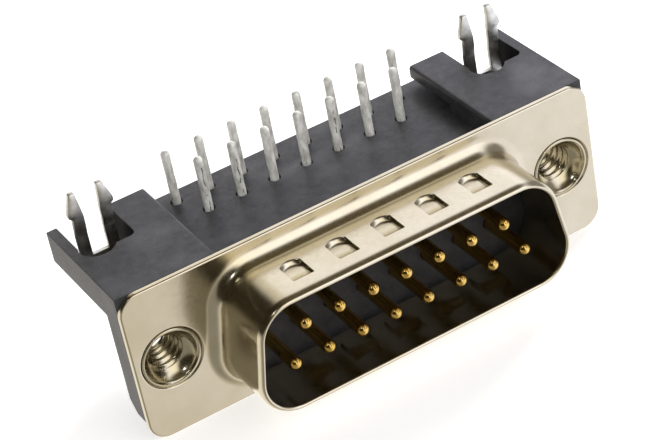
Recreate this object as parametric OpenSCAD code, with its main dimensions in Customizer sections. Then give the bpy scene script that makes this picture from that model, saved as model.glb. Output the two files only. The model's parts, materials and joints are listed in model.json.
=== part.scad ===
// Right-angle board connector with a D-shaped shell and two rows of pins.
// X runs along the rows, -Y is the mating direction and +Z is the board side.
// The origin lies midway between the threaded inserts, on the flange's front face.

/* [Contacts] */
// Number of contacts in the wide row; the narrow row has one less
columns = 8; // [5:1:13]
// Distance between neighbouring contacts of a row
pitch = 2.77; // [2.6:0.01:3]
// Distance between the two rows of pins
row_gap = 2.84; // [2.6:0.02:3.2]
// Diameter of the mating pins
pin_d = 1; // [0.8:0.05:1.2]
// How far the pins stand out of the insulator
pin_out = 5; // [4:0.1:5.5]
// Diameter of the collar that seats a contact in the insulator
collar_d = 1.5; // [1.3:0.05:1.8]
// Length of the collar
collar_len = 2.4; // [1:0.1:2.8]
// From the collar's rear to the rear of the insulator's block
collar_in = 0.4; // [0.2:0.1:0.8]
// Diameter of the legs and solder tails
tail_d = 0.7; // [0.5:0.05:0.8]
// Radius of the legs' bends, at the centre line
bend_r = 1.1; // [0.8:0.1:1.2]
// From the flange's front face to the first row of tails
tail_y = 8.08; // [7.6:0.01:9.5]
// Distance between the two rows of tails
tail_gap = 2.54; // [2.2:0.02:3]
// How far the tails reach past the board's seat
tail_out = 2.8; // [2.2:0.1:4]

/* [Shell] */
// Thickness of the drawn sheet
sheet_t = 0.45; // [0.35:0.05:0.55]
// From the last pin's axis to the inside of the shroud's end
end_room = 2.93; // [2.8:0.01:3.2]
// From a row's axis to the inside of the shroud's long wall
row_room = 2.76; // [2.6:0.02:3]
// Inside corner radius of the shroud
d_r = 2.6; // [1.5:0.1:3]
// Slope of the shroud's ends
d_angle = 10; // [6:1:14]
// Depth of the shroud in front of the flange
shroud_depth = 6; // [5.6:0.1:7]
// Radius of the turn from the shroud into the flange
root_r = 1.1; // [0.4:0.05:1.15]
// Radius of the rim's outer edge
rim_r = 0.4; // [0.1:0.05:0.45]
// How much thicker drawing leaves the shroud's corners than its walls, on each side
corner_gain = 0.01; // [0.005:0.005:0.03]
// From the inside of the shroud's end to the insert's axis
insert_room = 4.035; // [3.9:0.005:5]
// From the insert's axis to the flange's end
flange_end = 2.94; // [2.8:0.02:4]
// From the inside of the shroud's long wall to the flange's long edge
flange_margin = 2.07; // [1.9:0.01:2.6]
// Radius of the flange's corners
flange_r = 1.6; // [0.5:0.1:2.6]

/* [Grounding dimples] */
// Distance between neighbouring dimples
dimple_pitch = 3.72; // [3:0.02:5]
// Width of a dimple
dimple_w = 1.7; // [1.2:0.1:2.2]
// Length of a dimple's sloping floor
dimple_len = 2.05; // [1.5:0.05:2.6]
// Depth of a dimple at its steep end
dimple_depth = 0.35; // [0.3:0.05:0.6]
// Depth of a dimple at its front end
dimple_front = 0.15; // [0.05:0.05:0.25]
// From the flange's front face to the steep end
dimple_y = 2.25; // [2:0.05:2.8]
// Rise of the steep end's arch
dimple_arch = 0.4; // [0.2:0.05:0.5]
// Part of the sheet's thickness that drawing leaves in a dimple's walls
dimple_left = 0.8; // [0.6:0.05:1]

/* [Insulator] */
// How far its face stands in front of the flange's front face
face_out = 0.3; // [0:0.1:1]
// Thickness of the flange behind the shell
land_t = 1.2; // [0.8:0.1:1.4]
// How far that flange covers the shell's back
land_w = 0.35; // [0.2:0.05:0.45]
// From the flange's front face to the rear of the insulator's block
block_back = 5; // [4.6:0.1:5.6]
// From the last contact's axis to the end of the block
block_room = 2.7; // [1.6:0.1:2.8]
// From a row's axis to the block's long side
block_row_room = 1.35; // [1.1:0.05:1.4]

/* [Housing] */
// From the flange's front face to the back of the end walls
wall_back = 2.8; // [2.4:0.1:3.2]
// From the flange's lower edge up to the end walls' lower edge
wall_rise = 1.6; // [1:0.1:2.2]
// Cut of the end walls' lower rear edge
wall_cut = 0.9; // [0.3:0.1:1]
// From the board's seat down to the plate that guides the tails
plate_drop = 1.65; // [1.3:0.05:1.8]
// Thickness of that plate
plate_t = 1.6; // [1.2:0.1:1.65]
// From the last row of tails to the plate's rear edge
plate_margin = 1.48; // [1:0.02:2.5]
// Thickness of the cheeks beside the contacts
cheek_t = 1.1; // [0.8:0.1:1.2]
// Depth of the cheeks below the plate, at the rear
cheek_drop = 4; // [3:0.1:5]
// Lead-in chamfer at the lower edge of the tail holes
lead_in = 0.4; // [0.2:0.05:0.5]
// Thickness of the ears
ear_t = 2.55; // [2:0.05:2.8]
// How far the ears end before the plate's rear edge
ear_short = 0.5; // [0.2:0.1:1.5]
// Inset of the ears' ends from the flange's ends
ear_inset = 0.05; // [0:0.05:0.5]
// How far an ear's thick part reaches over the cheek
ear_lap = 0.4; // [0.2:0.1:0.8]
// Depth of the slot under the ear's inner lip
slot_w = 1.6; // [0.8:0.1:2.4]
// From the flange's front face to the start of the slot
slot_y = 6.1; // [5:0.1:8]
// Thickness of the lip above the slot
lip_t = 1.15; // [0.8:0.05:1.3]
// Radius of the lip's round edge
lip_r = 0.5; // [0.2:0.05:0.55]

/* [Notches] */
// Width of an ear's notch
notch_w = 4.1; // [3.9:0.1:4.5]
// From the flange's front face to the notch's front wall
notch_y = 6.75; // [6:0.05:7.5]
// Radius of the notch's wide corner, towards -X
notch_r = 1; // [0.4:0.1:1.5]
// Radius of the notch's tight corner, towards +X
corner_r = 0.5; // [0.2:0.1:1]
// Depth of the scoop at the notch's front wall
scoop_depth = 0.6; // [0.3:0.1:1]
// Radius of the scoop
scoop_r = 1.38; // [1.2:0.02:1.6]
// How far the scoop cuts into the front wall
scoop_cut = 0.7; // [0.4:0.05:0.9]
// From the notch's middle to the scoop's middle
scoop_x = 0.78; // [0:0.02:0.8]

/* [Inserts] */
// Diameter of the bore that carries the thread
bore_d = 2.26; // [2:0.02:2.6]
// Diameter of the body
insert_d = 4; // [3.7:0.05:4.1]
// Diameter of the countersunk head
head_d = 4.72; // [4.5:0.02:4.8]
// Diameter of the bore's flared mouth
mouth_d = 4.2; // [3.2:0.1:4.4]
// Depth of the flared mouth
mouth_depth = 0.95; // [0.5:0.05:1.2]
// Diameter of the rear collar
rivet_d = 5.4; // [5:0.1:5.6]
// Length of the rear collar
rivet_len = 1.2; // [0.8:0.1:2]

/* [Board locks] */
// Thickness of the strip
lock_t = 0.4; // [0.3:0.05:0.5]
// Width of the two prongs together, at the neck
neck_w = 3.1; // [2.8:0.02:3.2]
// Gap between the prongs at their roots
root_gap = 1.3; // [1:0.1:1.5]
// Gap between the prongs at their tips
tip_gap = 1.74; // [1.4:0.02:1.9]
// Height of the web that joins the prongs
web_h = 0.45; // [0.2:0.05:0.8]
// How far a barb stands out of the neck
barb_out = 0.25; // [0.15:0.01:0.35]
// Height of a barb
barb_h = 0.54; // [0.5:0.02:1]
// Rise of a barb's underside from the neck to its edge
barb_rise = 0.2; // [0.2:0.05:0.6]
// Thickness of the board that the barbs grip
board_t = 1.6; // [1:0.1:2.4]
// Play between the board and the barbs
barb_play = 0.1; // [0.05:0.05:0.3]
// Height of the prongs' tips above the barbs
prong_rise = 1.95; // [1.4:0.05:2.4]
// Width of a prong's tip
tip_w = 0.42; // [0.3:0.02:0.5]
// Inside radius of the strip's bends
fold_r = 0.3; // [0.2:0.05:0.5]
// Width of the foot under the insert's collar
foot_w = 5.2; // [4.8:0.1:5.6]

/* [Clearances] */
// Between the insulator and the shell, and between the moulded parts
fit_gap = 0.05; // [0.02:0.01:0.1]
// Between the insulator's block and the cheeks
cheek_gap = 0.3; // [0.1:0.05:0.4]
// Around the contacts in the insulator
contact_gap = 0.03; // [0.02:0.01:0.06]
// Around the tails in the plate
tail_gap_round = 0.12; // [0.05:0.01:0.2]
// Around the inserts
insert_gap = 0.06; // [0.03:0.01:0.1]

/* [Hidden] */
$fn = 64;
contacts = 2 * columns - 1;

shell_colour = [0.80, 0.76, 0.66];
plastic_colour = [0.20, 0.20, 0.22];
insulator_colour = [0.13, 0.13, 0.14];
gold_colour = [0.83, 0.66, 0.28];
insert_colour = [0.84, 0.82, 0.74];
lock_colour = [0.78, 0.78, 0.75];

// Shroud: the D's wide side lies at -Z, and its corner circles have these centres
d_w = (columns - 1) * pitch + 2 * end_room;
d_h = row_gap + 2 * row_room;
d_z = d_h / 2 - d_r;
d_wide_x = d_w / 2 - d_r;
d_narrow_x = d_wide_x - 2 * d_z * tan(d_angle);
d_side = 2 * d_z / cos(d_angle);
rim = min(rim_r, 0.9 * sheet_t);
turn_w = sheet_t + root_r;
// The shroud's section runs this far into the flange
turn_land = 0.2;
// The shroud's straight walls run this far into its corners
wall_lap = 0.1;
dimple_wall = dimple_left * sheet_t;
// How far a cut runs past the surface that it opens
past = 1;

// Flange and inserts
insert_x = d_w / 2 + insert_room;
flange_w = 2 * (insert_x + flange_end);
flange_h = d_h + 2 * flange_margin;

// Insulator
land_out = turn_w + land_w;
land_z = -d_h / 2 - turn_w - land_w / 2;
land_back = sheet_t + land_t;
block_x = (columns - 1) * pitch / 2 + block_room;
block_z = row_gap / 2 + block_row_room;

// Contacts
pin_tip_y = -face_out - pin_out;
collar_back = block_back - collar_in;
collar_y = collar_back - collar_len;
leg_r = tail_d / 2;
tail_rear_y = tail_y + tail_gap;

// Housing
seat_z = flange_h / 2;
wall_z = -seat_z + wall_rise;
plate_z = seat_z - plate_drop;
plate_under = plate_z - plate_t;
plate_back = tail_rear_y + plate_margin;
cheek_in = block_x + cheek_gap;
cheek_out = cheek_in + cheek_t;
ear_x = flange_w / 2 - ear_inset;
ear_body_x = cheek_out - ear_lap;
ear_in = ear_body_x - slot_w;
ear_back = plate_back - ear_short;
ear_under = seat_z - ear_t;
lip_round = min(lip_r, 0.45 * lip_t);
tail_hole_r = leg_r + tail_gap_round;

// Inserts and board locks
insert_r = insert_d / 2;
insert_hole_r = insert_r + insert_gap;
head_hole_r = head_d / 2 + insert_gap;
foot_back = wall_back + lock_t;
fold_out = fold_r + lock_t;
lock_y = (tail_y + tail_rear_y) / 2;
barb_z = seat_z + board_t + barb_play;
barb_low = barb_z + min(barb_rise, 0.8 * barb_h);
tip_z = barb_z + prong_rise;
prong_z = ear_under + fold_r;

function row_of(n) = n <= columns ? -1 : 1;
function contact_x(n) = (n <= columns ? n - (columns + 1) / 2 : n - 1.5 * columns) * pitch;
function contact_z(n) = row_of(n) * row_gap / 2;
function contact_tail_y(n) = row_of(n) < 0 ? tail_rear_y : tail_y;

// Turns a shape drawn in X and Z, and extruded upwards, so that it runs from y_from to y_to
module along_y(y_from, y_to) {
  translate([0, y_to, 0]) rotate([90, 0, 0]) linear_extrude(y_to - y_from) children();
}

// Turns a shape drawn in Y and Z so that it runs from x_from to x_to
module along_x(x_from, x_to) {
  translate([x_from, 0, 0]) rotate([90, 0, 90]) linear_extrude(x_to - x_from) children();
}

// Stands a solid of revolution, drawn with its axis up, along +Y
module axis_y() {
  rotate([-90, 0, 0]) children();
}

module both_sides() {
  for (side = [0, 1]) {
    mirror([side, 0, 0]) children();
  }
}

module d_outline(grow) {
  r = d_r + grow;
  right = [
    [d_wide_x, -d_z - r],
    [d_wide_x + r * cos(d_angle), -d_z + r * sin(d_angle)],
    [d_narrow_x + r * cos(d_angle), d_z + r * sin(d_angle)],
    [d_narrow_x, d_z + r]
  ];
  left = [for (i = [3 : -1 : 0]) [-right[i][0], right[i][1]]];
  polygon(concat(right, left));
  for (side = [-1, 1]) {
    translate([side * d_wide_x, -d_z]) circle(r);
    translate([side * d_narrow_x, d_z]) circle(r);
  }
}

// The sheet's section through the shroud, thinner by `inset` on each side:
// X is outwards from the inside wall, Y is the depth
module shroud_section(inset) {
  edge = rim - inset;
  translate([inset, rim - shroud_depth]) square([sheet_t - 2 * inset, shroud_depth - root_r - rim]);
  translate([inset, inset - shroud_depth]) square([sheet_t - rim - inset, edge]);
  translate([sheet_t - rim, rim - shroud_depth]) intersection() {
    circle(edge);
    translate([0, -edge]) square(edge);
  }
  translate([turn_w, -root_r]) intersection() {
    difference() {
      circle(turn_w - inset);
      circle(root_r + inset);
    }
    translate([-turn_w, 0]) square(turn_w);
  }
  translate([turn_w, inset]) square([2 * turn_land, sheet_t - 2 * inset]);
}

module shroud_corner(turn) {
  axis_y() rotate_extrude(angle = turn) translate([d_r, 0]) shroud_section(0);
}

module shroud_wall(length) {
  translate([d_r, 0, -wall_lap]) linear_extrude(length + 2 * wall_lap) shroud_section(corner_gain);
}

// The shroud: its section led round the D's four walls and four corners
module shroud() {
  both_sides() {
    translate([d_wide_x, 0, -d_z]) rotate([0, -d_angle, 0]) {
      shroud_corner(90 + d_angle);
      shroud_wall(d_side);
    }
    translate([d_narrow_x, 0, d_z]) rotate([0, -90, 0]) shroud_corner(90 - d_angle);
  }
  translate([-d_wide_x, 0, -d_z]) rotate([0, 90, 0]) shroud_wall(2 * d_wide_x);
  translate([d_narrow_x, 0, d_z]) rotate([0, -90, 0]) shroud_wall(2 * d_narrow_x);
}

module flange_outline() {
  square([flange_w, flange_h - 2 * flange_r], center = true);
  square([flange_w - 2 * flange_r, flange_h], center = true);
  for (x = [-1, 1], z = [-1, 1]) {
    translate([x * (flange_w / 2 - flange_r), z * (flange_h / 2 - flange_r)]) circle(flange_r);
  }
}

// A dimple seen from outside: straight sides, and an arched steep end towards the flange
module dimple_plan(grow) {
  w = dimple_w + 2 * grow;
  arch = dimple_arch;
  arch_r = (w * w / 4 + arch * arch) / (2 * arch);
  translate([-w / 2, -dimple_len - grow]) square([w, dimple_len + 2 * grow]);
  translate([0, grow]) intersection() {
    translate([0, arch - arch_r]) circle(arch_r);
    translate([-w / 2, 0]) square([w, arch]);
  }
}

// The space above a floor that slopes from `shallow` at the front to `deep` at the steep end
module dimple_solid(grow, shallow, deep, top) {
  reach = dimple_w + 2 * grow;
  front = -dimple_len - grow;
  steep = dimple_arch + grow;
  intersection() {
    translate([0, 0, -deep]) linear_extrude(deep + top) dimple_plan(grow);
    along_x(-reach, reach) polygon([[front, -shallow], [steep, -deep], [steep, top], [front, top]]);
  }
}

module dimple_places() {
  for (row = [0, 1]) {
    straight = 2 * (row == 0 ? d_narrow_x : d_wide_x);
    count = floor((straight - dimple_w) / dimple_pitch) + 1;
    for (i = [0 : count - 1]) {
      rotate([0, 180 * row, 0])
        translate([(i - (count - 1) / 2) * dimple_pitch, -dimple_y, d_h / 2 + sheet_t])
          children();
    }
  }
}

module front_shell() {
  color(shell_colour) difference() {
    union() {
      shroud();
      along_y(0, sheet_t) difference() {
        flange_outline();
        d_outline(turn_w + turn_land);
      }
      dimple_places()
        dimple_solid(dimple_wall, dimple_front + sheet_t, dimple_depth + sheet_t, -sheet_t / 2);
    }
    dimple_places() dimple_solid(0, dimple_front, dimple_depth, past);
    for (side = [-1, 1]) {
      translate([side * insert_x, 0, 0]) axis_y()
        cylinder(h = sheet_t, r1 = head_hole_r, r2 = insert_hole_r);
    }
  }
}

// The insulator's flange: the D, cut level with the housing's plate and just below the shroud's turn
module land_outline(grow) {
  intersection() {
    d_outline(land_out + grow);
    translate([-flange_w / 2, land_z - grow]) square([flange_w, plate_z - land_z + 2 * grow]);
  }
}

module contact_insulator() {
  color(insulator_colour) difference() {
    union() {
      along_y(-face_out, sheet_t) d_outline(-fit_gap);
      along_y(sheet_t, land_back) land_outline(0);
      along_y(land_back, block_back) square([2 * block_x, 2 * block_z], center = true);
    }
    for (n = [1 : contacts]) {
      translate([contact_x(n), 0, contact_z(n)]) axis_y() {
        translate([0, 0, -face_out]) cylinder(h = face_out + block_back, d = pin_d + 2 * contact_gap);
        translate([0, 0, collar_y]) cylinder(h = block_back - collar_y, d = collar_d + 2 * contact_gap);
      }
    }
  }
}

// The turned part of a contact: round-nosed pin, seating collar and leg
module pin_profile(bend_y) {
  pin_r = pin_d / 2;
  translate([0, pin_tip_y + pin_r]) intersection() {
    circle(pin_r);
    translate([0, -pin_r]) square(pin_r);
  }
  translate([0, pin_tip_y + pin_r]) square([pin_r, collar_y - pin_tip_y - pin_r]);
  translate([0, collar_y]) square([collar_d / 2, collar_len]);
  translate([0, collar_back]) square([leg_r, bend_y - collar_back]);
}

module tail_profile(length) {
  square([leg_r, length - leg_r]);
  translate([0, length - leg_r]) intersection() {
    circle(leg_r);
    square(leg_r);
  }
}

module contact(n) {
  bend_y = contact_tail_y(n) - bend_r;
  bend_z = contact_z(n) + bend_r;
  color(gold_colour) translate([contact_x(n), 0, 0]) {
    translate([0, 0, contact_z(n)]) axis_y() rotate_extrude() pin_profile(bend_y);
    translate([0, bend_y, bend_z]) rotate([0, 90, 0])
      rotate_extrude(angle = 90) translate([bend_r, 0]) circle(leg_r);
    translate([0, contact_tail_y(n), bend_z]) rotate_extrude() tail_profile(seat_z + tail_out - bend_z);
  }
}

// An ear's inner part in X and Z, from z_low up to the seat, with its inner edge rounded
module lip_section(z_low, round_below) {
  low = round_below ? z_low + lip_round : z_low;
  high = seat_z - lip_round;
  reach = slot_w + ear_lap;
  translate([ear_in + lip_round, z_low]) square([reach - lip_round, seat_z - z_low]);
  translate([ear_in, low]) square([reach, high - low]);
  translate([ear_in + lip_round, high]) circle(lip_round);
  if (round_below) {
    translate([ear_in + lip_round, low]) circle(lip_round);
  }
}

module ear() {
  along_y(sheet_t, ear_back) translate([ear_body_x, ear_under]) square([ear_x - ear_body_x, ear_t]);
  along_y(sheet_t, slot_y) lip_section(plate_z, false);
  along_y(slot_y, ear_back) lip_section(seat_z - lip_t, true);
}

// The notch that a board lock rises through, open to the rear
module notch() {
  half = notch_w / 2;
  length = ear_back - notch_y + past;
  translate([0, 0, ear_under - past]) linear_extrude(ear_t + 2 * past) {
    translate([notch_r - half, notch_y]) square([notch_w - notch_r - corner_r, length]);
    translate([-half, notch_y + notch_r]) square([half, length - notch_r]);
    translate([0, notch_y + corner_r]) square([half, length - corner_r]);
    translate([notch_r - half, notch_y + notch_r]) circle(notch_r);
    translate([half - corner_r, notch_y + corner_r]) circle(corner_r);
  }
  translate([-scoop_x, notch_y + scoop_r - scoop_cut, seat_z - scoop_depth])
    cylinder(h = scoop_depth + past, r = scoop_r);
}

module wall_section(top) {
  polygon([
    [sheet_t, top],
    [sheet_t, wall_z],
    [wall_back - wall_cut, wall_z],
    [wall_back, wall_z + wall_cut],
    [wall_back, top]
  ]);
}

module cheek_section() {
  polygon([
    [wall_back, plate_under],
    [wall_back, wall_z + wall_cut],
    [block_back, wall_z + wall_cut],
    [plate_back, plate_under - cheek_drop],
    [plate_back, plate_under]
  ]);
}

module tail_hole() {
  translate([0, 0, plate_under]) {
    cylinder(h = plate_t, r = tail_hole_r);
    cylinder(h = lead_in, r1 = tail_hole_r + lead_in, r2 = tail_hole_r);
  }
}

module rear_housing() {
  window = [2 * (block_x + fit_gap), 2 * (block_z + fit_gap)];
  color(plastic_colour) difference() {
    union() {
      along_x(-cheek_out, cheek_out) wall_section(plate_z);
      both_sides() {
        along_x(cheek_out, ear_x) wall_section(seat_z);
        along_x(cheek_in, cheek_out) cheek_section();
        ear();
      }
      translate([-cheek_out, land_back, plate_under])
        cube([2 * cheek_out, plate_back - land_back, plate_t]);
    }
    along_y(sheet_t - past, land_back) land_outline(fit_gap);
    along_y(land_back, wall_back) square(window, center = true);
    for (side = [-1, 1]) {
      translate([side * insert_x, 0, 0]) axis_y() cylinder(h = wall_back, r = insert_hole_r);
      translate([side * insert_x, 0, 0]) notch();
    }
    for (n = [1 : contacts]) {
      translate([contact_x(n), contact_tail_y(n), 0]) tail_hole();
    }
  }
}

// Half section of an insert, X outwards and Y along its axis: flared mouth, head, body and rear collar
module insert_profile() {
  back = foot_back + rivet_len;
  bore_r = bore_d / 2;
  polygon([
    [bore_r, mouth_depth],
    [mouth_d / 2, 0],
    [head_d / 2, 0],
    [insert_r, sheet_t],
    [insert_r, foot_back],
    [rivet_d / 2, foot_back],
    [rivet_d / 2, back],
    [bore_r, back]
  ]);
}

module threaded_insert(side) {
  color(insert_colour) translate([side * insert_x, 0, 0]) axis_y() rotate_extrude() insert_profile();
}

// One prong in X and Z, on the +X side: straight neck, barb and slanting tip
module prong_outline() {
  neck = neck_w / 2;
  inner_tip = tip_gap / 2;
  polygon([
    [root_gap / 2, barb_z],
    [root_gap / 2, prong_z],
    [neck, prong_z],
    [neck, barb_z],
    [neck + barb_out, barb_low],
    [neck + barb_out, barb_z + barb_h],
    [inner_tip + tip_w, tip_z],
    [inner_tip, tip_z]
  ]);
}

module board_lock(side) {
  run_from = wall_back + fold_out;
  run_to = lock_y + lock_t / 2 - fold_out;
  color(lock_colour) translate([side * insert_x, 0, 0]) {
    along_y(wall_back, foot_back) difference() {
      union() {
        circle(d = foot_w);
        translate([-neck_w / 2, 0]) square([neck_w, ear_under - fold_out]);
      }
      circle(insert_hole_r);
    }
    translate([-neck_w / 2, run_from, ear_under - fold_out]) rotate([90, 0, 90]) rotate([0, 0, 90])
      rotate_extrude(angle = 90) translate([fold_r, 0]) square([lock_t, neck_w]);
    translate([-neck_w / 2, run_from, ear_under - lock_t]) cube([neck_w, run_to - run_from, lock_t]);
    translate([-neck_w / 2, run_to, prong_z]) rotate([90, 0, 90]) rotate([0, 0, -90])
      rotate_extrude(angle = 90) translate([fold_r, 0]) square([lock_t, neck_w]);
    along_y(lock_y - lock_t / 2, lock_y + lock_t / 2) {
      translate([-neck_w / 2, prong_z]) square([neck_w, web_h]);
      both_sides() prong_outline();
    }
  }
}

front_shell();
contact_insulator();
rear_housing();
threaded_insert(-1);  // left_insert
threaded_insert(1);  // right_insert
board_lock(-1);  // left_board_lock
board_lock(1);  // right_board_lock
for (n = [1 : contacts]) {
  contact(n);
}
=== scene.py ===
"""Looks of the right-angle board connector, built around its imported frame.

Lengths are in millimetres until a mesh is made. X runs along the rows of contacts, -Y is the mating
direction and +Z the board side.
"""
import json
import math

import bmesh
import bpy
from mathutils import Matrix, Vector

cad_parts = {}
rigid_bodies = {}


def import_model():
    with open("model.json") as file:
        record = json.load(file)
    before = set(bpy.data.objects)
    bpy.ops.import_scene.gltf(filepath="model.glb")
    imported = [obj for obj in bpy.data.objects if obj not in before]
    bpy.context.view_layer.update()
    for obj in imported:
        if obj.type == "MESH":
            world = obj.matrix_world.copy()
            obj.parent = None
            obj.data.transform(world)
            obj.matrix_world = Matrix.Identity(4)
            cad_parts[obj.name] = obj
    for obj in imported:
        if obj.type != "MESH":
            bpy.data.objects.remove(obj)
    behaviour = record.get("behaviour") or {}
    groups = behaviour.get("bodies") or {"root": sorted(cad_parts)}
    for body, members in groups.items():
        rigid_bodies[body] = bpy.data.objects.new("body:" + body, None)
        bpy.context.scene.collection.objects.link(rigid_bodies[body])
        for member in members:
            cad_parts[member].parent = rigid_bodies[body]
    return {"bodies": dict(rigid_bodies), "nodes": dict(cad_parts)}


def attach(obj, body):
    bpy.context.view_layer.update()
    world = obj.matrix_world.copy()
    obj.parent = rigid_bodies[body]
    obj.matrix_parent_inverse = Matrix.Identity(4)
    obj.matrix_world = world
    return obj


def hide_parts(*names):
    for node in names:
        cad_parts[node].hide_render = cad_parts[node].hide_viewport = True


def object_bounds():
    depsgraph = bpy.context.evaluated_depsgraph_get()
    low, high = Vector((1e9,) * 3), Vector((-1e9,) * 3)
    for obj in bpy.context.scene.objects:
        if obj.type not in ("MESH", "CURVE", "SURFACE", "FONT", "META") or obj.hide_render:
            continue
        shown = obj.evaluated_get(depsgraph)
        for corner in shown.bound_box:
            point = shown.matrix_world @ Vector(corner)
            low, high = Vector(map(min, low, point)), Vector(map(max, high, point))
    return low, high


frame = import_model()
cad_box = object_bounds()

MM = 0.001
BODY = "root"

# Sizes shared with the solids
COLUMNS = 8
PITCH = 2.77
ROW_GAP = 2.84
SHEET = 0.45
INSERT_X = 16.66
SEAT_Z = 6.25


def clear_startup():
    """Removes the default scene's objects and keeps the frame's."""
    kept = set(frame["nodes"].values()) | set(frame["bodies"].values())
    for obj in list(bpy.data.objects):
        if obj not in kept:
            bpy.data.objects.remove(obj)


# Materials

# Part of a noise's values that is spread over a material's range
NOISE_LOW, NOISE_HIGH = 0.3, 0.7
TONE_LOW, TONE_HIGH = 0.32, 0.68
METAL_DETAIL, METAL_BUMP = 4.0, 0.35
CLOUD_SCALE, CLOUD_DETAIL, CLOUD_ROUGH = 1.4, 6.0, 0.7
PLASTIC_DETAIL, PLASTIC_BUMP = 3.0, 0.5
# Smudges and dust: features to the millimetre, the noise's range that shows, and the share mixed in
MARKS = ((0.2, 0.5, 0.72, 0.3), (5.0, 0.66, 0.73, 0.35))
MARK_DETAIL = 2.0
# How many times paler than the moulding they are
DUST = 3.2


def new_material(name):
    mat = bpy.data.materials.new(name)
    mat.use_nodes = True
    return mat, mat.node_tree.nodes, mat.node_tree.links, mat.node_tree.nodes["Principled BSDF"]


def noise(nodes, links, scale, detail, stretch=(1, 1, 1), rough=0.55):
    """Noise in object space, `scale` features to the millimetre."""
    coord = nodes.new("ShaderNodeTexCoord")
    mapping = nodes.new("ShaderNodeMapping")
    mapping.inputs["Scale"].default_value = stretch
    tex = nodes.new("ShaderNodeTexNoise")
    tex.inputs["Scale"].default_value = scale / MM
    tex.inputs["Detail"].default_value = detail
    tex.inputs["Roughness"].default_value = rough
    links.new(coord.outputs["Object"], mapping.inputs["Vector"])
    links.new(mapping.outputs["Vector"], tex.inputs["Vector"])
    return tex.outputs["Fac"]


def ramp(nodes, links, fac, low, high):
    """Colour that runs between two stops, each a position and a colour."""
    node = nodes.new("ShaderNodeValToRGB")
    for element, (place, colour) in zip(node.color_ramp.elements, (low, high)):
        element.position = place
        element.color = (*colour, 1)
    links.new(fac, node.inputs["Fac"])
    return node.outputs["Color"]


def spread(nodes, links, fac, low, high):
    """Maps a noise's middle range to low..high."""
    node = nodes.new("ShaderNodeMapRange")
    node.inputs["From Min"].default_value = NOISE_LOW
    node.inputs["From Max"].default_value = NOISE_HIGH
    node.inputs["To Min"].default_value = low
    node.inputs["To Max"].default_value = high
    links.new(fac, node.inputs["Value"])
    return node.outputs["Result"]


def bump(nodes, links, bsdf, height, distance, strength):
    node = nodes.new("ShaderNodeBump")
    node.inputs["Distance"].default_value = distance * MM
    node.inputs["Strength"].default_value = strength
    links.new(height, node.inputs["Height"])
    links.new(node.outputs["Normal"], bsdf.inputs["Normal"])


def metal(name, dark, light, rough, grain, depth, stretch=(1, 1, 1), tone=0.25, metallic=1.0):
    """Plated metal: base colour that drifts between two tones, uneven roughness and a fine grain."""
    mat, nodes, links, bsdf = new_material(name)
    bsdf.inputs["Metallic"].default_value = metallic
    drift = noise(nodes, links, tone, METAL_DETAIL, stretch)
    colour = ramp(nodes, links, drift, (TONE_LOW, dark), (TONE_HIGH, light))
    links.new(colour, bsdf.inputs["Base Color"])
    speck = noise(nodes, links, grain, METAL_DETAIL, stretch)
    links.new(spread(nodes, links, speck, *rough), bsdf.inputs["Roughness"])
    bump(nodes, links, bsdf, speck, depth, METAL_BUMP)
    return mat


def plastic(name, dark, light, rough, grain, depth, level, dust=0.0):
    """Filled moulding compound: mottled colour, smudges and dust, matte skin and a fine grain."""
    mat, nodes, links, bsdf = new_material(name)
    bsdf.inputs["Specular IOR Level"].default_value = level
    cloud = noise(nodes, links, CLOUD_SCALE, CLOUD_DETAIL, rough=CLOUD_ROUGH)
    colour = ramp(nodes, links, cloud, (NOISE_LOW, dark), (NOISE_HIGH, light))
    for scale, low, high, share in MARKS:
        mark = noise(nodes, links, scale, MARK_DETAIL)
        mask = ramp(nodes, links, mark, (low, (0, 0, 0)), (high, (share * dust,) * 3))
        mix = nodes.new("ShaderNodeMix")
        mix.data_type = "RGBA"
        links.new(mask, mix.inputs["Factor"])
        links.new(colour, mix.inputs["A"])
        mix.inputs["B"].default_value = (*(DUST * c for c in light), 1)
        colour = mix.outputs["Result"]
    links.new(colour, bsdf.inputs["Base Color"])
    speck = noise(nodes, links, grain, PLASTIC_DETAIL)
    links.new(spread(nodes, links, speck, *rough), bsdf.inputs["Roughness"])
    bump(nodes, links, bsdf, speck, depth, PLASTIC_BUMP)
    return mat


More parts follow.
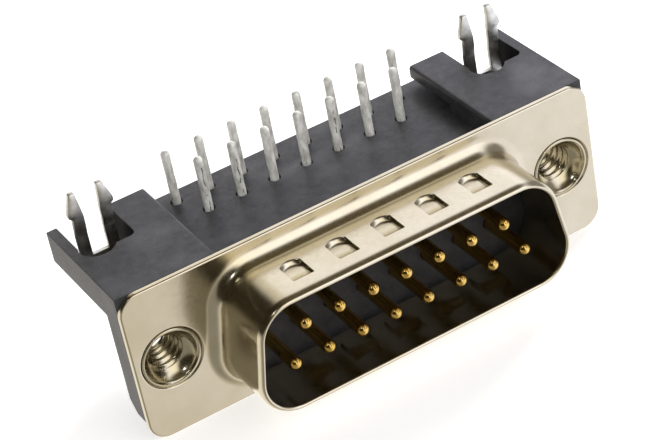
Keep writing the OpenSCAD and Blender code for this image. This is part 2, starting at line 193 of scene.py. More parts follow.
def make_materials():
    return {
        "shell": metal("shell_plate", (0.54, 0.487, 0.355), (0.60, 0.55, 0.42),
                       rough=(0.17, 0.24), grain=3.0, depth=0.002),
        "insert": metal("insert_plate", (0.46, 0.41, 0.28), (0.55, 0.50, 0.37),
                        rough=(0.18, 0.25), grain=4.0, depth=0.003),
        "lock": metal("lock_plate", (0.46, 0.46, 0.415), (0.74, 0.735, 0.69),
                      rough=(0.3, 0.44), grain=3.0, depth=0.002, tone=1.3),
        "gold": metal("gold_plate", (0.62, 0.41, 0.10), (0.76, 0.53, 0.17),
                      rough=(0.1, 0.17), grain=5.0, depth=0.003),
        "tin": metal("tin_coat", (0.5, 0.5, 0.45), (0.98, 0.98, 0.94),
                     rough=(0.36, 0.55), grain=4.0, depth=0.03, stretch=(1, 1, 0.4), tone=2.6, metallic=0.15),
        # Dark grey for the faces of an open seam: painted shade for the gap between the rolled edges
        "seam": metal("seam_painted_shade", (0.16, 0.16, 0.14), (0.4, 0.4, 0.35),
                      rough=(0.5, 0.7), grain=4.0, depth=0.01, tone=5.0),
        "housing": plastic("housing_moulding", (0.022, 0.022, 0.025), (0.052, 0.052, 0.056),
                           rough=(0.36, 0.52), grain=9.0, depth=0.01, level=0.36, dust=1.0),
        # A much darker, rougher, nearly unreflective copy of the housing's plastic for the notches' walls:
        # painted shade in the notches
        "recess_shade": plastic("recess_painted_shade", (0.006, 0.006, 0.007), (0.014, 0.014, 0.015),
                          rough=(0.62, 0.78), grain=6.0, depth=0.02, level=0.05),
        "insulator": plastic("insulator_moulding", (0.014, 0.015, 0.018), (0.03, 0.031, 0.037),
                             rough=(0.4, 0.6), grain=8.0, depth=0.02, level=0.4),
    }


# Mesh tools

# How strongly large faces decide the shading normals
NORMAL_WEIGHT = 80


def finish_piece(name, mesh, materials, replaced, sharp):
    """Makes the object, keeps edges over `sharp` degrees crisp, and lets it stand for the CAD nodes."""
    for mat in materials:
        mesh.materials.append(mat)
    for poly in mesh.polygons:
        poly.use_smooth = True
    mesh.set_sharp_from_angle(angle=math.radians(sharp))
    obj = bpy.data.objects.new(name, mesh)
    bpy.context.scene.collection.objects.link(obj)
    weighted = obj.modifiers.new("flat_faces", "WEIGHTED_NORMAL")
    weighted.keep_sharp = True
    weighted.weight = NORMAL_WEIGHT
    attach(obj, BODY)
    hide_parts(*replaced)
    return obj


def ring(bm, points):
    return [bm.verts.new(Vector(p) * MM) for p in points]


def skin(bm, a, b, material=0):
    """Quads between two closed rings of the same count."""
    n = len(a)
    for i in range(n):
        j = (i + 1) % n
        bm.faces.new((a[i], a[j], b[j], b[i])).material_index = material


def skin_all(bm, rings):
    for a, b in zip(rings, rings[1:]):
        skin(bm, a, b)


def cap(bm, loop, tip, material):
    """Triangles from a closed ring to one point."""
    n = len(loop)
    for i in range(n):
        bm.faces.new((loop[i], loop[(i + 1) % n], tip)).material_index = material


def loop_edges(bm, loop):
    """The edges of a closed ring, made where there are none yet."""
    pairs = zip(loop, loop[1:] + loop[:1])
    return [bm.edges.get(pair) or bm.edges.new(pair) for pair in pairs]


def to_mesh(bm, name):
    bmesh.ops.recalc_face_normals(bm, faces=bm.faces)
    mesh = bpy.data.meshes.new(name)
    bm.to_mesh(mesh)
    bm.free()
    return mesh


def turns(count):
    """Angles of `count` points spread evenly round a circle."""
    return [2 * math.pi * i / count for i in range(count)]


def circle_loop(cx, r, y, count):
    return [(cx + r * math.cos(a), y, r * math.sin(a)) for a in turns(count)]


def arc(cx, cy, r, a0, a1, steps):
    out = []
    for i in range(steps + 1):
        a = math.radians(a0 + (a1 - a0) * i / steps)
        out.append((cx + r * math.cos(a), cy + r * math.sin(a)))
    return out


def clamp(value, low, high):
    return min(high, max(low, value))


def smooth(t):
    t = clamp(t, 0.0, 1.0)
    return t * t * (3 - 2 * t)


def steps_between(start, end, step):
    """Even places from start up to, but not at, the end."""
    n = max(1, round(abs(end - start) / step))
    return [start + (end - start) * i / n for i in range(n)]


def stepped(start, *runs):
    """Places through several runs, each given by its end and its step."""
    out = []
    for end, step in runs:
        out += steps_between(start, end, step)
        start = end
    return out


# Front shell: the sheet's section is led round the D, pressed in at the dimples, and joined to the flange

# The D: room from the outer contacts to the shroud's inside, corner radius, slant of its ends, half sizes
MARGIN_X, MARGIN_Z = 2.93, 2.76
D_R = 2.6
D_ANGLE = math.radians(10)
D_Z = (ROW_GAP + 2 * MARGIN_Z) / 2 - D_R
D_WIDE = ((COLUMNS - 1) * PITCH + 2 * MARGIN_X) / 2 - D_R
D_NARROW = D_WIDE - 2 * D_Z * math.tan(D_ANGLE)
CORNER_STEP, CORNER_LEAST, SLANT_STEPS = 4, 8, 4

# The shroud: depth, the root's radius on the front and on the back of the sheet, and the rim's rounding
DEPTH = 6.0
ROOT_R = 1.1
TURN = SHEET + ROOT_R
RIM_R, RIM_LEN = 0.3, 0.6
OUTER_ROOT_STEPS, INNER_ROOT_STEPS, RIM_STEPS, RIM_BACK_STEPS = 16, 12, 16, 8
FLAT_ROOM = 0.02

# The flange: half sizes, corner radius, front edge's rounding, and the radii and depths of an insert's hole
FLANGE_HALF = (19.6, 6.25)
FLANGE_R, FLANGE_STEPS = 1.6, 14
EDGE_R, EDGE_STEPS, EDGE_ROOM, EDGE_BACK = 0.13, 4, 0.04, 0.04
HOLE = ((2.54, 0.0), (2.5, 0.0), (2.465, 0.01), (2.435, 0.035), (2.41, 0.07),
        (2.06, SHEET - 0.02), (2.07, SHEET))
HOLE_SIDES = 64

# A dimple: spacing, half width, length, depths at its two ends, and where its steep end lies
DIMPLE_PITCH = 3.72
DIMPLE_HALF = 0.85
DIMPLE_LEN = 2.05
DIMPLE_DEPTH = 0.35
DIMPLE_FRONT = 0.15
DIMPLE_Y = 2.25
# Its floor's dish, the bow of its steep end, and the width of its steep side, end and inside fade
DIMPLE_DISH = 4
DIMPLE_ARCH = 0.4
DIMPLE_SIDE = 0.12
STEEP = 0.2
INSIDE_FADE = 1.6
# How much larger the dimple is on the sheet's inside
DIMPLE_SKIN = 0.3
# How far from the steep end mesh lines bow with it, the room in front of it, and the bow left at its foot
BOW_REACH, BOW_ROOM, BOW_FOOT = 0.8, 0.02, 0.4

# Mesh lines across a long wall, from a dimple's middle: close together at the sides of its two skins
OUTER_LINES = (0.0, 0.2, 0.4, 0.55, 0.65, 0.71, 0.735, 0.76, 0.785, 0.81, 0.83, 0.85)
INNER_LINES = (0.88, 0.95, 1.0, 1.03, 1.06, 1.09, 1.12, 1.15, 1.2, 1.3, 1.5)
LINE_GAP = 0.015
# Mesh lines along the shroud: fine round the steep ends and shallow ends of the dimples, coarse between
FINE_ROOM = 0.1
OUTER_SHALLOW, OUTER_FINE, OUTER_COARSE = (-4.1, -4.4), 0.025, (0.12, 0.17, 0.25)
INNER_SHALLOW, INNER_FINE, INNER_COARSE = (-4.7, -4.4), 0.04, 0.2
INNER_START = -5.2


def dimple_centres(half):
    """As many dimples as fit on a wall of this half length."""
    count = int((2 * half - 2 * DIMPLE_HALF) // DIMPLE_PITCH) + 1
    return [(i - (count - 1) / 2) * DIMPLE_PITCH for i in range(count)]


def arch_rise(x, centres, half):
    """How far the arched end of the dimple at x bows towards the flange."""
    for c in centres:
        dx = abs(x - c)
        if dx < half:
            return DIMPLE_ARCH * (1 - (dx / half) ** 2)
    return 0.0


def bowed(x, y, centres, grow):
    """Leads a line across the wall round the dimples' arched ends, so that mesh lines follow them."""
    top = grow - DIMPLE_Y
    rise = arch_rise(x, centres, DIMPLE_HALF + grow)
    stops = ((top + BOW_REACH, 0.0), (top + BOW_ROOM, 1.0), (top, 1.0), (top - STEEP, BOW_FOOT),
             (top - BOW_REACH, 0.0))
    for (y0, w0), (y1, w1) in zip(stops, stops[1:]):
        if y1 <= y <= y0:
            return y + rise * (w0 + (w1 - w0) * (y0 - y) / (y0 - y1))
    return y


def pressed(x, line, y, centres, grow):
    """How deep a wall is pressed at x and y, on the mesh line that lies at `line` where nothing bows it."""
    half = DIMPLE_HALF + grow
    for c in centres:
        dx = abs(x - c)
        if dx < half:
            run = y + DIMPLE_Y + DIMPLE_LEN
            slope = (1 - clamp(run / DIMPLE_LEN, 0.0, 1.0)) ** DIMPLE_DISH
            floor = DIMPLE_DEPTH - (DIMPLE_DEPTH - DIMPLE_FRONT) * slope
            side = smooth((half - dx) / DIMPLE_SIDE)
            steep = smooth((grow - DIMPLE_Y - line) / STEEP)
            front = smooth((run + grow) / (DIMPLE_SIDE if grow == 0 else INSIDE_FADE))
            return floor * side * steep * front
    return 0.0


def wall_lines(half, centres):
    """Lines across a long wall, close together where the dimples' sides are."""
    lines = {-half, half}
    for c in centres:
        for offset in OUTER_LINES + INNER_LINES:
            lines.update((round(c + offset, 4), round(c - offset, 4)))
    lines = sorted(x for x in lines if -half <= x <= half)
    kept = [lines[0]]
    for x in lines[1:]:
        if x - kept[-1] > LINE_GAP:
            kept.append(x)
    kept[-1] = half
    return kept


def d_stations():
    """Stations round the D: corner-circle centre, outward normal and the dimples of that wall."""
    out = []
    wide, narrow = dimple_centres(D_WIDE), dimple_centres(D_NARROW)
    tilt = math.degrees(D_ANGLE)

    def corner(cx, cz, a0, a1):
        steps = max(CORNER_LEAST, int(abs(a1 - a0) / CORNER_STEP))
        for i in range(1, steps):
            a = math.radians(a0 + (a1 - a0) * i / steps)
            out.append((cx, cz, math.cos(a), math.sin(a), ()))

    def slant(x0, z0, x1, z1, a):
        for i in range(SLANT_STEPS + 1):
            t = i / SLANT_STEPS
            out.append((x0 + (x1 - x0) * t, z0 + (z1 - z0) * t, math.cos(a), math.sin(a), ()))

    for x in wall_lines(D_WIDE, wide):
        out.append((x, -D_Z, 0.0, -1.0, wide))
    corner(D_WIDE, -D_Z, -90, tilt)
    slant(D_WIDE, -D_Z, D_NARROW, D_Z, D_ANGLE)
    corner(D_NARROW, D_Z, tilt, 90)
    for x in reversed(wall_lines(D_NARROW, narrow)):
        out.append((x, D_Z, 0.0, 1.0, narrow))
    corner(-D_NARROW, D_Z, 90, 180 - tilt)
    slant(-D_NARROW, D_Z, -D_WIDE, -D_Z, math.pi - D_ANGLE)
    corner(-D_WIDE, -D_Z, 180 - tilt, 270)
    return out


def shell_section():
    """The sheet's section: outward offset from the inside wall, y, and which pressed skin it belongs to."""
    flat = TURN + FLAT_ROOM
    lip = SHEET - RIM_R
    steep = -DIMPLE_Y
    near, middle, far = OUTER_COARSE
    outer = stepped(-ROOT_R, (steep + FINE_ROOM, near), (steep - STEEP - FINE_ROOM, OUTER_FINE),
                    (OUTER_SHALLOW[0], middle), (OUTER_SHALLOW[1], OUTER_FINE), (RIM_LEN - DEPTH, far))
    steep += DIMPLE_SKIN
    inner = stepped(INNER_START, (INNER_SHALLOW[0], INNER_COARSE), (INNER_SHALLOW[1], INNER_FINE),
                    (steep - STEEP - FINE_ROOM, INNER_COARSE), (steep + FINE_ROOM, INNER_FINE),
                    (-ROOT_R, INNER_COARSE))
    out = [(flat, 0.0, "")]
    out += [(u, y, "") for u, y in arc(TURN, -ROOT_R, ROOT_R, 90, 180, OUTER_ROOT_STEPS)[:-1]]
    out += [(SHEET, y, "outer") for y in outer]
    out += [(lip + RIM_R * u, RIM_LEN * (1 + y) - DEPTH, "") for u, y in arc(0, 0, 1, 0, -90, RIM_STEPS)]
    out += [(u, y, "") for u, y in arc(lip, lip - DEPTH, lip, -90, -180, RIM_BACK_STEPS)[1:]]
    out += [(0.0, y, "inner") for y in inner]
    out += [(u, y, "") for u, y in arc(TURN, -ROOT_R, TURN, 180, 90, INNER_ROOT_STEPS)]
    out += [(flat, SHEET, "")]
    return out


def flange_loop(inset, y):
    """The flange's outline, moved in by `inset`."""
    hx, hz = FLANGE_HALF[0] - inset, FLANGE_HALF[1] - inset
    r = FLANGE_R - inset
    out = []
    for sx, sz, a0 in ((1, -1, -90), (1, 1, 0), (-1, 1, 90), (-1, -1, 180)):
        for x, z in arc(sx * (hx - r), sz * (hz - r), r, a0, a0 + 90, FLANGE_STEPS):
            out.append((x, y, z))
    return out


def shroud_rings(bm):
    """One ring round the D for each point of the sheet's section."""
    stations = d_stations()
    rings = []
    for u, y, skin_name in shell_section():
        points = []
        for cx, cz, nx, nz, centres in stations:
            reach, at = D_R + u, y
            if skin_name and centres:
                grow = 0.0 if skin_name == "outer" else DIMPLE_SKIN
                at = bowed(cx, y, centres, grow)
                reach -= pressed(cx, y, at, centres, grow)
            points.append((cx + reach * nx, at, cz + reach * nz))
        rings.append(ring(bm, points))
    return rings


def build_shell(mats):
    bm = bmesh.new()
    rounding = arc(0, 0, EDGE_R, -90, 0, EDGE_STEPS)[1:]
    edge = [(EDGE_R + EDGE_ROOM, 0.0), (EDGE_R, 0.0)] + [(EDGE_R - u, EDGE_R + v) for u, v in rounding]
    edge += [(0.0, SHEET - EDGE_BACK), (EDGE_BACK, SHEET)]
    parts = [shroud_rings(bm), [ring(bm, flange_loop(inset, y)) for inset, y in edge]]
    for side in (-1, 1):
        parts.append([ring(bm, circle_loop(side * INSERT_X, r, y, HOLE_SIDES)) for r, y in HOLE])
    for rings in parts:
        skin_all(bm, rings)
    for end, normal in ((0, (0, -1, 0)), (-1, (0, 1, 0))):
        edges = [e for rings in parts for e in loop_edges(bm, rings[end])]
        bmesh.ops.triangle_fill(bm, use_beauty=True, use_dissolve=False, edges=edges, normal=normal)
    mesh = to_mesh(bm, "shell_sheet")
    return finish_piece("shell_sheet", mesh, [mats["shell"]], ["front_shell"], sharp=40)


# Contacts: one tube with a changing radius, led along pin, leg, bend and tail

# Radii of the tube and its bend, places along the pin, and the tails' row, row gap and length past the seat
PIN_R, COLLAR_R, LEG_R, BEND_R = 0.5, 0.75, 0.35, 1.1
PIN_TIP, COLLAR_Y, COLLAR_BACK = -5.3, 2.2, 4.6
TAIL_Y, TAIL_GAP, TAIL_OUT = 8.08, 2.54, 2.8
# Edges of the collar, the run of a step in radius, and how blunt the tail's end is
COLLAR_EDGE, STEP_RUN, TAIL_BLUNT = 0.06, 0.01, 0.85
# Mesh lines of the pin, and steps round the tube, at its ends, in its bend and along its tail
PIN_LINES = (-3.5, -2.0, -0.5, 1.0)
SIDES, END_STEPS, BEND_STEPS, TAIL_STEPS = 60, 8, 12, 56
# Past this angle of travel, in radians, the tube is a tail
UPRIGHT = 1.5

# Waves up the tail: size, turn for each millimetre, and shift by the contact's number to a power
LUMPS = ((0.006, 2.3, 1.7, 1), (0.005, 5.1, 0.9, 2))
SEAM_WAVES = ((0.5, 2.1, 1.9, 1), (0.4, 7.3, 1.0, 1))
OVAL, OVAL_RATE = 0.012, 3.1

# The rolled sheet's seam: on the pin as a share of its radius, and on the tails that the tin leaves open
PIN_SEAM, PIN_SEAM_END = 0.16, -0.3
SEAM_DEPTH, SEAM_OPEN, SEAM_SHARE = 0.13, 0.05, 0.55
SEAM_TOP, SEAM_FADE = 0.6, 0.4
# How far it strays round the tail, in steps of the tube's sides
STRAY, STRAY_RATE = 1.3, 4.7
# Tails whose seam is open, and how far
WORN = {9: 1.0, 10: 1.0, 13: 0.75}
# A contact's materials, in order
GOLD, TIN, SEAM_SHADE = range(3)


def contact_place(n):
    """A contact's x, its row's z, and the y of its tail."""
    low = n <= COLUMNS
    x = (n - (COLUMNS + 1) / 2 if low else n - 1.5 * COLUMNS) * PITCH
    return x, (-1 if low else 1) * ROW_GAP / 2, TAIL_Y + TAIL_GAP if low else TAIL_Y


def waves(rows, h, n):
    """Sum of the waves at height h of contact n."""
    return sum(size * math.sin(rate * h + shift * n ** power) for size, rate, shift, power in rows)


def contact_path(n):
    """Stations (y, z, angle of travel, radius and coat), and the tail's end."""
    _, z, tail_y = contact_place(n)
    out = []
    for i in range(1, END_STEPS + 1):
        a = math.pi / 2 * i / END_STEPS
        out.append((PIN_TIP + PIN_R * (1 - math.cos(a)), z, 0.0, PIN_R * math.sin(a), GOLD))
    for y in (*PIN_LINES, COLLAR_Y - STEP_RUN):
        out.append((y, z, 0.0, PIN_R, GOLD))
    for y, inset in ((COLLAR_Y, COLLAR_EDGE), (COLLAR_Y + COLLAR_EDGE, 0.0),
                     (COLLAR_BACK - COLLAR_EDGE, 0.0), (COLLAR_BACK, COLLAR_EDGE)):
        out.append((y, z, 0.0, COLLAR_R - inset, GOLD))
    bend_y = tail_y - BEND_R
    for y in (COLLAR_BACK + STEP_RUN, 0.5 * (COLLAR_BACK + bend_y)):
        out.append((y, z, 0.0, LEG_R, TIN))
    for i in range(BEND_STEPS + 1):
        a = math.pi / 2 * i / BEND_STEPS
        out.append((bend_y + BEND_R * math.sin(a), z + BEND_R * (1 - math.cos(a)), a, LEG_R, TIN))
    top = SEAT_Z + TAIL_OUT
    base = z + BEND_R
    shaft = top - LEG_R - base
    thinned = LEG_R - sum(size for size, *_ in LUMPS)
    for i in range(1, TAIL_STEPS):
        h = base + shaft * i / TAIL_STEPS
        out.append((tail_y, h, math.pi / 2, thinned + waves(LUMPS, h, n), TIN))
    for i in range(END_STEPS):
        a = math.pi / 2 * i / END_STEPS
        r = LEG_R * math.cos(a) ** TAIL_BLUNT
        out.append((tail_y, top - LEG_R + LEG_R * math.sin(a), math.pi / 2, r, TIN))
    return out, (tail_y, top)


def seam_depth(n, y, h, a, r):
    """Depth of the rolled sheet's seam: open on the pin, filled by the tin on a tail that isn't worn."""
    if a > UPRIGHT:
        gap = WORN.get(n, 0.0) * (SEAM_SHARE + waves(SEAM_WAVES, h, n))
        return SEAM_DEPTH * smooth(gap) * smooth((SEAT_Z + TAIL_OUT - SEAM_TOP - h) / SEAM_FADE)
    if y < PIN_SEAM_END:
        return PIN_SEAM * r
    return 0.0


def build_contact(n, mats):
    x, z, _ = contact_place(n)
    path, end = contact_path(n)
    across = Vector((1, 0, 0))
    bm = bmesh.new()
    loops, seams = [], []
    for y, h, a, r, coat in path:
        seam = 3 * SIDES // 4 + (round(STRAY * math.sin(STRAY_RATE * h + n)) if coat == TIN else 0)
        out = Vector((0, math.cos(a), math.sin(a))).cross(across)
        oval = OVAL if a > UPRIGHT else 0.0
        points = []
        for i, t in enumerate(turns(SIDES)):
            reach = r * (1 + oval * math.sin(2 * t + OVAL_RATE * h + n))
            if abs(i - seam) < 2:
                reach -= seam_depth(n, y, h, a, r) / (1 + abs(i - seam))
            points.append(Vector((x, y, h)) + reach * (math.cos(t) * across + math.sin(t) * out))
        loops.append(ring(bm, points))
        seams.append(seam)
    for i in range(len(loops) - 1):
        skin(bm, loops[i], loops[i + 1], path[i + 1][-1])
    bm.faces.ensure_lookup_table()
    # Faces along a seam left open get the dark material, painted shade for the gap
    for i, (y, h, a, r, coat) in enumerate(path[:-1]):
        if coat == TIN and seam_depth(n, y, h, a, r) > SEAM_OPEN:
            for j in (seams[i] - 1, seams[i]):
                bm.faces[i * SIDES + j].material_index = SEAM_SHADE
    cap(bm, loops[0], bm.verts.new(Vector((x, PIN_TIP, z)) * MM), GOLD)
    cap(bm, loops[-1], bm.verts.new(Vector((x, *end)) * MM), TIN)
    name = f"contact_pin_{n}"
    coats = [mats["gold"], mats["tin"], mats["seam"]]
    return finish_piece(name, to_mesh(bm, name), coats, [f"contact_{n}"], sharp=40)


# Inserts: a turned body whose bore carries a cut thread

# The bore, its mouth's bowl and lip, the thread and where it flares and fades, and the rear collar
BORE_R, MOUTH_R, MOUTH_DEPTH, BOWL = 1.13, 2.06, 0.85, 1.5
MOUTH_LIP, MOUTH_LIP_DEPTH = 0.09, 0.16
THREAD_DEPTH, THREAD_PITCH = 0.28, 0.635
THREAD_FLARE, FLARE_DEPTH = 0.13, 2.4
THREAD_STOP, THREAD_FADE = 0.1, 0.3
RIVET_FRONT, INSERT_BACK, RIVET_R = 3.2, 3.75, 2.4
# Rounded edges of the rear collar: how far in from its radius and from its back or front
BACK_EDGE = ((0.12, 0.0), (0.03, 0.05), (0.0, 0.15))
FRONT_EDGE = ((0.0, 0.1), (0.03, 0.03), (0.1, 0.0))
# Barrel and countersunk head with a rounded rim: radius and y
BARREL_R = 2.0
HEAD = ((BARREL_R, 0.46), (2.31, 0.14), (2.325, 0.1), (2.32, 0.06), (2.295, 0.025), (2.26, 0.006),
        (2.23, 0.0))
INSERT_SIDES = 96
# Mesh lines down the bore: the mouth's lip is finer than the thread
MOUTH_END, MOUTH_LINE, BORE_LINE = 0.1, 0.02, 0.045


def bore_radius(y):
    """Radius over the thread's crests, flared a little towards the mouth."""
    return BORE_R + THREAD_FLARE * (1 - smooth((y - MOUTH_DEPTH) / FLARE_DEPTH))


def thread_radius(y, turn):
    """Radius of the cut thread at y, for a turn given from 0 to 1."""
    t = (y / THREAD_PITCH - turn) % 1.0
    cut = smooth(abs(t - 0.5) * 2)
    fade = smooth((INSERT_BACK - THREAD_STOP - y) / THREAD_FADE)
    return bore_radius(y) + THREAD_DEPTH * cut * fade


def mouth_radius(y):
    """Flared mouth: a bowl with a rounded lip."""
    if y >= MOUTH_DEPTH:
        return 0.0
    bowl = (1 - (y / MOUTH_DEPTH) ** BOWL) ** (1 / BOWL)
    inner = BORE_R + THREAD_FLARE
    return inner + (MOUTH_R - inner) * bowl + MOUTH_LIP * (1 - smooth(y / MOUTH_LIP_DEPTH))


def build_insert(side, word, mats):
    bm = bmesh.new()
    cx = side * INSERT_X
    outside = [(RIVET_R - inset, INSERT_BACK - back) for inset, back in BACK_EDGE]
    outside += [(RIVET_R - inset, RIVET_FRONT + front) for inset, front in FRONT_EDGE]
    outside += [(BARREL_R, RIVET_FRONT), *HEAD]
    loops = [ring(bm, circle_loop(cx, r, y, INSERT_SIDES)) for r, y in outside]
    for y in stepped(0.0, (MOUTH_END, MOUTH_LINE), (INSERT_BACK, BORE_LINE)) + [INSERT_BACK]:
        points = []
        for i, a in enumerate(turns(INSERT_SIDES)):
            r = max(mouth_radius(y), thread_radius(y, i / INSERT_SIDES))
            points.append((cx + r * math.cos(a), y, r * math.sin(a)))
        loops.append(ring(bm, points))
    skin_all(bm, loops + loops[:1])
    name = f"{word}_threaded_insert"
    mesh = to_mesh(bm, name)
    return finish_piece(name, mesh, [mats["insert"]], [f"{word}_insert"], sharp=50)


# Mouldings and stampings: the solid's form with softened edges and small corrections

# Points closer than this are one, and faces within this angle are one
WELD, FLAT_ANGLE = 0.0005, math.radians(0.6)
# Edges over this angle are softened
BEVEL_ANGLE, BEVEL_SEGMENTS, BEVEL_PROFILE = math.radians(28), 2, 0.5

# The ears' notches: floor, front, half width, room under the seat, the most upright a wall's normal may be
RECESS_FLOOR, RECESS_FRONT, RECESS_HALF = 3.65, 6.6, 2.3
RECESS_ROOM, RECESS_TILT = 0.1, 0.7
# Underside of the ears, how near a point of it lies, and how much narrower the notch is there
EAR_UNDER, EAR_NEAR, NOTCH_DRAFT = 3.7, 0.06, 0.92

# Inner ends of the ears: end, radius, underside, lowest point, added length and squareness (1 is round)
LIP_END, LIP_R, LIP_UNDER, LIP_FOOT = 11.795, 0.5, 5.1, 4.59
LIP_MORE, LIP_SQUARE = 0.28, 0.5
# How far before the end, and past a radius in height, a point still counts as part of it
LIP_NEAR, LIP_PAST = 0.1, 1.01

# The insulator's front edge: its back, where it lies across, the core it spreads away from, and how far
FACE_BACK, FACE_X, FACE_Z = 0.2, 10.6, 3.0
FACE_CORE_X, FACE_CORE_Z, FACE_SPREAD = 8.6, 1.1, 0.3

# A lock's prongs bow between these heights, by this much, over this many cuts
PRONG_FROM, PRONG_TO, PRONG_BOW, PRONG_CUTS = 6.3, 9.9, 0.2, 16


def in_recess(face):
    """Whether a face of the housing is a wall of one of the notches that the locks come through."""
    middle = face.calc_center_median() / MM
    deep = RECESS_FLOOR < middle.z < SEAT_Z - RECESS_ROOM and middle.y > RECESS_FRONT
    return deep and abs(abs(middle.x) - INSERT_X) < RECESS_HALF and abs(face.normal.z) < RECESS_TILT


def bow_prongs(bm):
    """Bows the prongs of a board lock: forward from their necks, then back to their tips."""
    for i in range(PRONG_CUTS):
        height = PRONG_FROM + (PRONG_TO - PRONG_FROM) * i / PRONG_CUTS
        geom = list(bm.verts) + list(bm.edges) + list(bm.faces)
        bmesh.ops.bisect_plane(bm, geom=geom, plane_co=(0, 0, height * MM), plane_no=(0, 0, 1))
    for vert in bm.verts:
        run = clamp((vert.co.z / MM - PRONG_FROM) / (PRONG_TO - PRONG_FROM), 0.0, 1.0)
        vert.co.y -= 4 * PRONG_BOW * run * (1 - run) * MM


def fill_root(bm):
    """Spreads the insulator's front edge to the shell's rounded root, so that no light shows past it."""
    for vert in bm.verts:
        x, y, z = vert.co / MM
        if y < FACE_BACK and (abs(x) > FACE_X or abs(z) > FACE_Z):
            core = Vector((clamp(x, -FACE_CORE_X, FACE_CORE_X), y, clamp(z, -FACE_CORE_Z, FACE_CORE_Z)))
            vert.co += (Vector((x, y, z)) - core).normalized() * FACE_SPREAD * MM


def shape_ears(bm):
    """Squares and lengthens the ears' inner ends, and gives the notches' walls a draft."""
    for vert in bm.verts:
        x, y, z = vert.co / MM
        side = math.copysign(1.0, x)
        off = abs(x) - INSERT_X
        if abs(z - EAR_UNDER) < EAR_NEAR and y > RECESS_FRONT and abs(off) < RECESS_HALF:
            vert.co.x = side * (INSERT_X + off * NOTCH_DRAFT) * MM
        if z < LIP_FOOT or not LIP_END - LIP_NEAR < abs(x) < LIP_END + LIP_R:
            continue
        bulge = min(1.0, (LIP_END + LIP_R - abs(x)) / LIP_R)
        reach = LIP_R * bulge ** LIP_SQUARE + LIP_MORE
        rise = 0.0
        for level, way in ((SEAT_Z - LIP_R, 1), (LIP_UNDER + LIP_R, -1)):
            high = way * (z - level) / LIP_R
            if 0 < high < LIP_PAST:
                rise = way * LIP_R * (min(1.0, high) ** LIP_SQUARE - high)
        vert.co.x = side * (LIP_END + LIP_R - reach) * MM
        vert.co.z += rise * MM


def softened(node, name, materials, width, behind=-math.inf, shape=None):
    """The node's form with its edges behind the plane y = `behind` softened, then corrected by `shape`."""
    bm = bmesh.new()
    bm.from_mesh(frame["nodes"][node].data)
    bmesh.ops.remove_doubles(bm, verts=bm.verts, dist=WELD * MM)
    bmesh.ops.dissolve_limit(bm, angle_limit=FLAT_ANGLE, verts=bm.verts, edges=bm.edges)
    edges = [e for e in bm.edges if len(e.link_faces) == 2 and e.calc_face_angle(0) > BEVEL_ANGLE
             and min(v.co.y for v in e.verts) > behind * MM]
    bmesh.ops.bevel(bm, geom=edges, offset=width * MM, offset_type="OFFSET", segments=BEVEL_SEGMENTS,
                    profile=BEVEL_PROFILE, affect="EDGES", clamp_overlap=False, material=-1)
    if shape:
        shape(bm)
    # Faces on the notches' walls get the second material, the housing's plastic with painted shade
    if len(materials) > 1:
        for face in bm.faces:
            face.material_index = int(in_recess(face))
    return finish_piece(name, to_mesh(bm, name), materials, [node], sharp=32)


def build_mouldings(mats):
    softened("rear_housing", "housing_moulding", [mats["housing"], mats["recess_shade"]],
             width=0.045, shape=shape_ears)
    softened("contact_insulator", "insulator_moulding", [mats["insulator"]],
             width=0.05, behind=0.5, shape=fill_root)
    for word in ("left", "right"):
        softened(f"{word}_board_lock", f"{word}_lock_strip", [mats["lock"]],
                 width=0.05, shape=bow_prongs)


# Studio: in metres, apart from the camera's target and distance

# Square lamps that face the origin: place, size, power, and whether they show in reflections
LAMPS = {
    "softbox": ((0.08, 0.05, 0.06), 0.05, 0.13, False),
    "fill": ((-0.25, -0.3, 0.2), 0.2, 0.65, False),
    "spark": ((-0.24, -0.22, 0.42), 0.04, 0.12, True),
}
FLOOR_DROP, FLOOR_INNER, FLOOR_OUTER, FLOOR_SIDES = 0.00002, 0.25, 4, 96
FLOOR_COLOUR, FLOOR_ROUGH = (0.9, 0.9, 0.9, 1), 0.9
# What the camera sees of the floor is lifted by this much, so that it is white
FLOOR_SEEN = 0.5

# The world's parts, by direction: from, to, and the values there, with smooth steps between
WALL_TOP_FRONT = (0.68, 0.9, 1.0, 0.0)
WALL_TOP_BACK = (0.62, 0.9, 1.0, 0.0)
TILTED_UP = (0.0, 0.156, 0.988)
FRONT_TO_BACK = (-0.3, 0.3, 0.0, 1.0)
WALL_LEFT = (-0.2, 0.05, 0.0, 1.0)
WALL_RIGHT = (0.55, 0.8, 1.0, 0.12)
WALL_LEVEL = (-0.8, 0.8, 1.8, 1.65)
GROUND_FRONT = (-0.15, 0.55, 0.36, 1.25)
GROUND_BACK = 1.25
GROUND_SHARE = (-0.45, 0.25, 0.0, 1.0)
HORIZON = (-0.1, 0.1, 0.0, 1.0)
WARM, COOL, COOL_SIDE = (1.0, 0.96, 0.90, 1), (0.98, 1.0, 1.16, 1), (0.1, 0.45, 0.0, 1.0)
ROOM_COLOUR, ROOM_LEVEL = (1.0, 0.79, 0.42, 1), (-0.3, 0.2, 0.035, 0.13)

# The camera: azimuth, elevation and roll in degrees, target and distance in millimetres, lens in pixels
CAMERA_TURN = (-24.16, 33.55, -11.64)
CAMERA_TARGET, CAMERA_DISTANCE = (-3.31, 0.0, 5.13), 162.04
LENS_PIXELS, PHOTO_PIXELS, SENSOR = 2302.1, 645, 36.0
CLIP = (0.005, 20)


def make_lamps():
    for name, (place, size, power, glossy) in LAMPS.items():
        data = bpy.data.lights.new(name, "AREA")
        data.shape = "SQUARE"
        data.size = size
        data.energy = power
        lamp = bpy.data.objects.new(name, data)
        lamp.location = place
        lamp.rotation_euler = (-Vector(place)).to_track_quat("-Z", "Y").to_euler()
        lamp.visible_glossy = glossy
        bpy.context.scene.collection.objects.link(lamp)


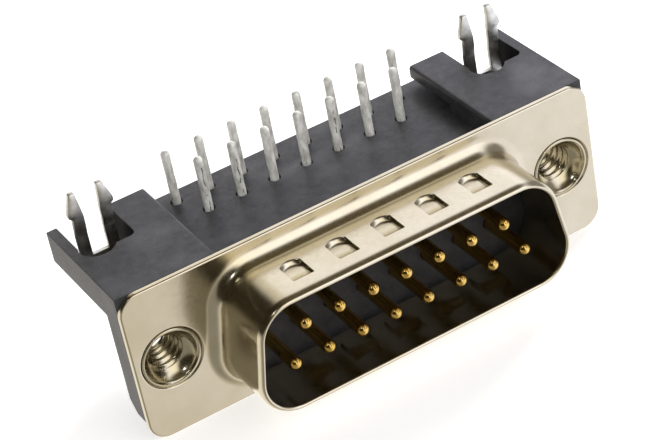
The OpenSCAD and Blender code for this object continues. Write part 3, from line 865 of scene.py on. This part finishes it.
def math_node(nodes, links, a, b, operation):
    """An operation on two values, each a socket or a plain number."""
    node = nodes.new("ShaderNodeMath")
    node.operation = operation
    for socket, value in zip(node.inputs, (a, b)):
        if isinstance(value, float):
            socket.default_value = value
        else:
            links.new(value, socket)
    return node.outputs[0]


def make_floor():
    """A wide pale disc. Reflections see the world's ground instead, whose tones follow the photograph's."""
    bm = bmesh.new()
    low = cad_box[0].z - FLOOR_DROP
    inner, outer = ([bm.verts.new((r * math.cos(a), r * math.sin(a), low)) for a in turns(FLOOR_SIDES)]
                    for r in (FLOOR_INNER, FLOOR_OUTER))
    bm.faces.new(inner)
    skin(bm, outer, inner)
    mesh = to_mesh(bm, "studio_floor")
    floor = bpy.data.objects.new("studio_floor", mesh)
    bpy.context.scene.collection.objects.link(floor)
    mat, nodes, links, bsdf = new_material("floor_white")
    bsdf.inputs["Base Color"].default_value = FLOOR_COLOUR
    bsdf.inputs["Roughness"].default_value = FLOOR_ROUGH
    rays = nodes.new("ShaderNodeLightPath").outputs
    seen = math_node(nodes, links, rays["Is Camera Ray"], rays["Is Transmission Ray"], "MAXIMUM")
    glow = math_node(nodes, links, seen, FLOOR_SEEN, "MULTIPLY")
    bsdf.inputs["Emission Color"].default_value = (1, 1, 1, 1)
    links.new(glow, bsdf.inputs["Emission Strength"])
    floor.visible_glossy = False
    mesh.materials.append(mat)


def make_world():
    """A bright wall on the right from front to back, a dim ceiling, a dim left side and a pale ground."""
    world = bpy.data.worlds.new("studio")
    bpy.context.scene.world = world
    world.use_nodes = True
    world.cycles.sampling_method = "NONE"
    nodes, links = world.node_tree.nodes, world.node_tree.links
    surround = nodes["Background"]
    direction = nodes.new("ShaderNodeTexCoord").outputs["Generated"]
    split = nodes.new("ShaderNodeSeparateXYZ")
    links.new(direction, split.inputs[0])
    x, y, z = (split.outputs[axis] for axis in "XYZ")
    lifted = nodes.new("ShaderNodeVectorMath")
    lifted.operation = "DOT_PRODUCT"
    lifted.inputs[1].default_value = TILTED_UP
    links.new(direction, lifted.inputs[0])

    def step(value, *ranges):
        node = nodes.new("ShaderNodeMapRange")
        node.interpolation_type = "SMOOTHSTEP"
        for key, number in zip(("From Min", "From Max", "To Min", "To Max"), ranges):
            node.inputs[key].default_value = number
        links.new(value, node.inputs["Value"])
        return node.outputs["Result"]

    def times(a, b):
        return math_node(nodes, links, a, b, "MULTIPLY")

    def blend(a, b, share):
        rest = math_node(nodes, links, 1.0, share, "SUBTRACT")
        return math_node(nodes, links, times(a, rest), times(b, share), "ADD")

    top_back = step(lifted.outputs["Value"], *WALL_TOP_BACK)
    below_top = blend(step(z, *WALL_TOP_FRONT), top_back, step(y, *FRONT_TO_BACK))
    on_right = times(step(x, *WALL_LEFT), step(x, *WALL_RIGHT))
    above = times(times(below_top, on_right), step(y, *WALL_LEVEL))
    ground = blend(step(x, *GROUND_FRONT), GROUND_BACK, step(y, *GROUND_SHARE))
    links.new(blend(ground, above, step(z, *HORIZON)), surround.inputs["Strength"])
    tint = nodes.new("ShaderNodeMix")
    tint.data_type = "RGBA"
    links.new(step(x, *COOL_SIDE), tint.inputs[0])
    tint.inputs["A"].default_value = WARM
    tint.inputs["B"].default_value = COOL
    links.new(tint.outputs["Result"], surround.inputs["Color"])
    room = nodes.new("ShaderNodeBackground")
    room.inputs["Color"].default_value = ROOM_COLOUR
    links.new(step(x, *ROOM_LEVEL), room.inputs["Strength"])
    both = nodes.new("ShaderNodeAddShader")
    links.new(surround.outputs[0], both.inputs[0])
    links.new(room.outputs[0], both.inputs[1])
    links.new(both.outputs[0], nodes["World Output"].inputs["Surface"])


def make_camera():
    """The photograph's viewpoint, fitted to the connector's known sizes."""
    azimuth, elevation, roll = (math.radians(v) for v in CAMERA_TURN)
    level = math.cos(elevation)
    back = Vector((math.sin(azimuth) * level, -math.cos(azimuth) * level, math.sin(elevation)))
    right = Vector((0, 0, 1)).cross(back).normalized()
    up = back.cross(right)
    turned = math.cos(roll) * right + math.sin(roll) * up
    upright = math.cos(roll) * up - math.sin(roll) * right
    data = bpy.data.cameras.new("photo_camera")
    data.sensor_fit = "HORIZONTAL"
    data.sensor_width = SENSOR
    data.lens = LENS_PIXELS * SENSOR / PHOTO_PIXELS
    data.clip_start, data.clip_end = CLIP
    camera = bpy.data.objects.new("photo_camera", data)
    place = (Vector(CAMERA_TARGET) + CAMERA_DISTANCE * back) * MM
    axes = Matrix((turned, upright, back)).transposed().to_4x4()
    camera.matrix_world = Matrix.Translation(place) @ axes
    bpy.context.scene.collection.objects.link(camera)
    bpy.context.scene.camera = camera


clear_startup()
make_camera()
mats = make_materials()
build_shell(mats)
for n in range(1, 2 * COLUMNS):
    build_contact(n, mats)
for side, word in ((-1, "left"), (1, "right")):
    build_insert(side, word, mats)
build_mouldings(mats)
make_floor()
make_world()
make_lamps()
bpy.context.scene.view_settings.view_transform = "Standard"
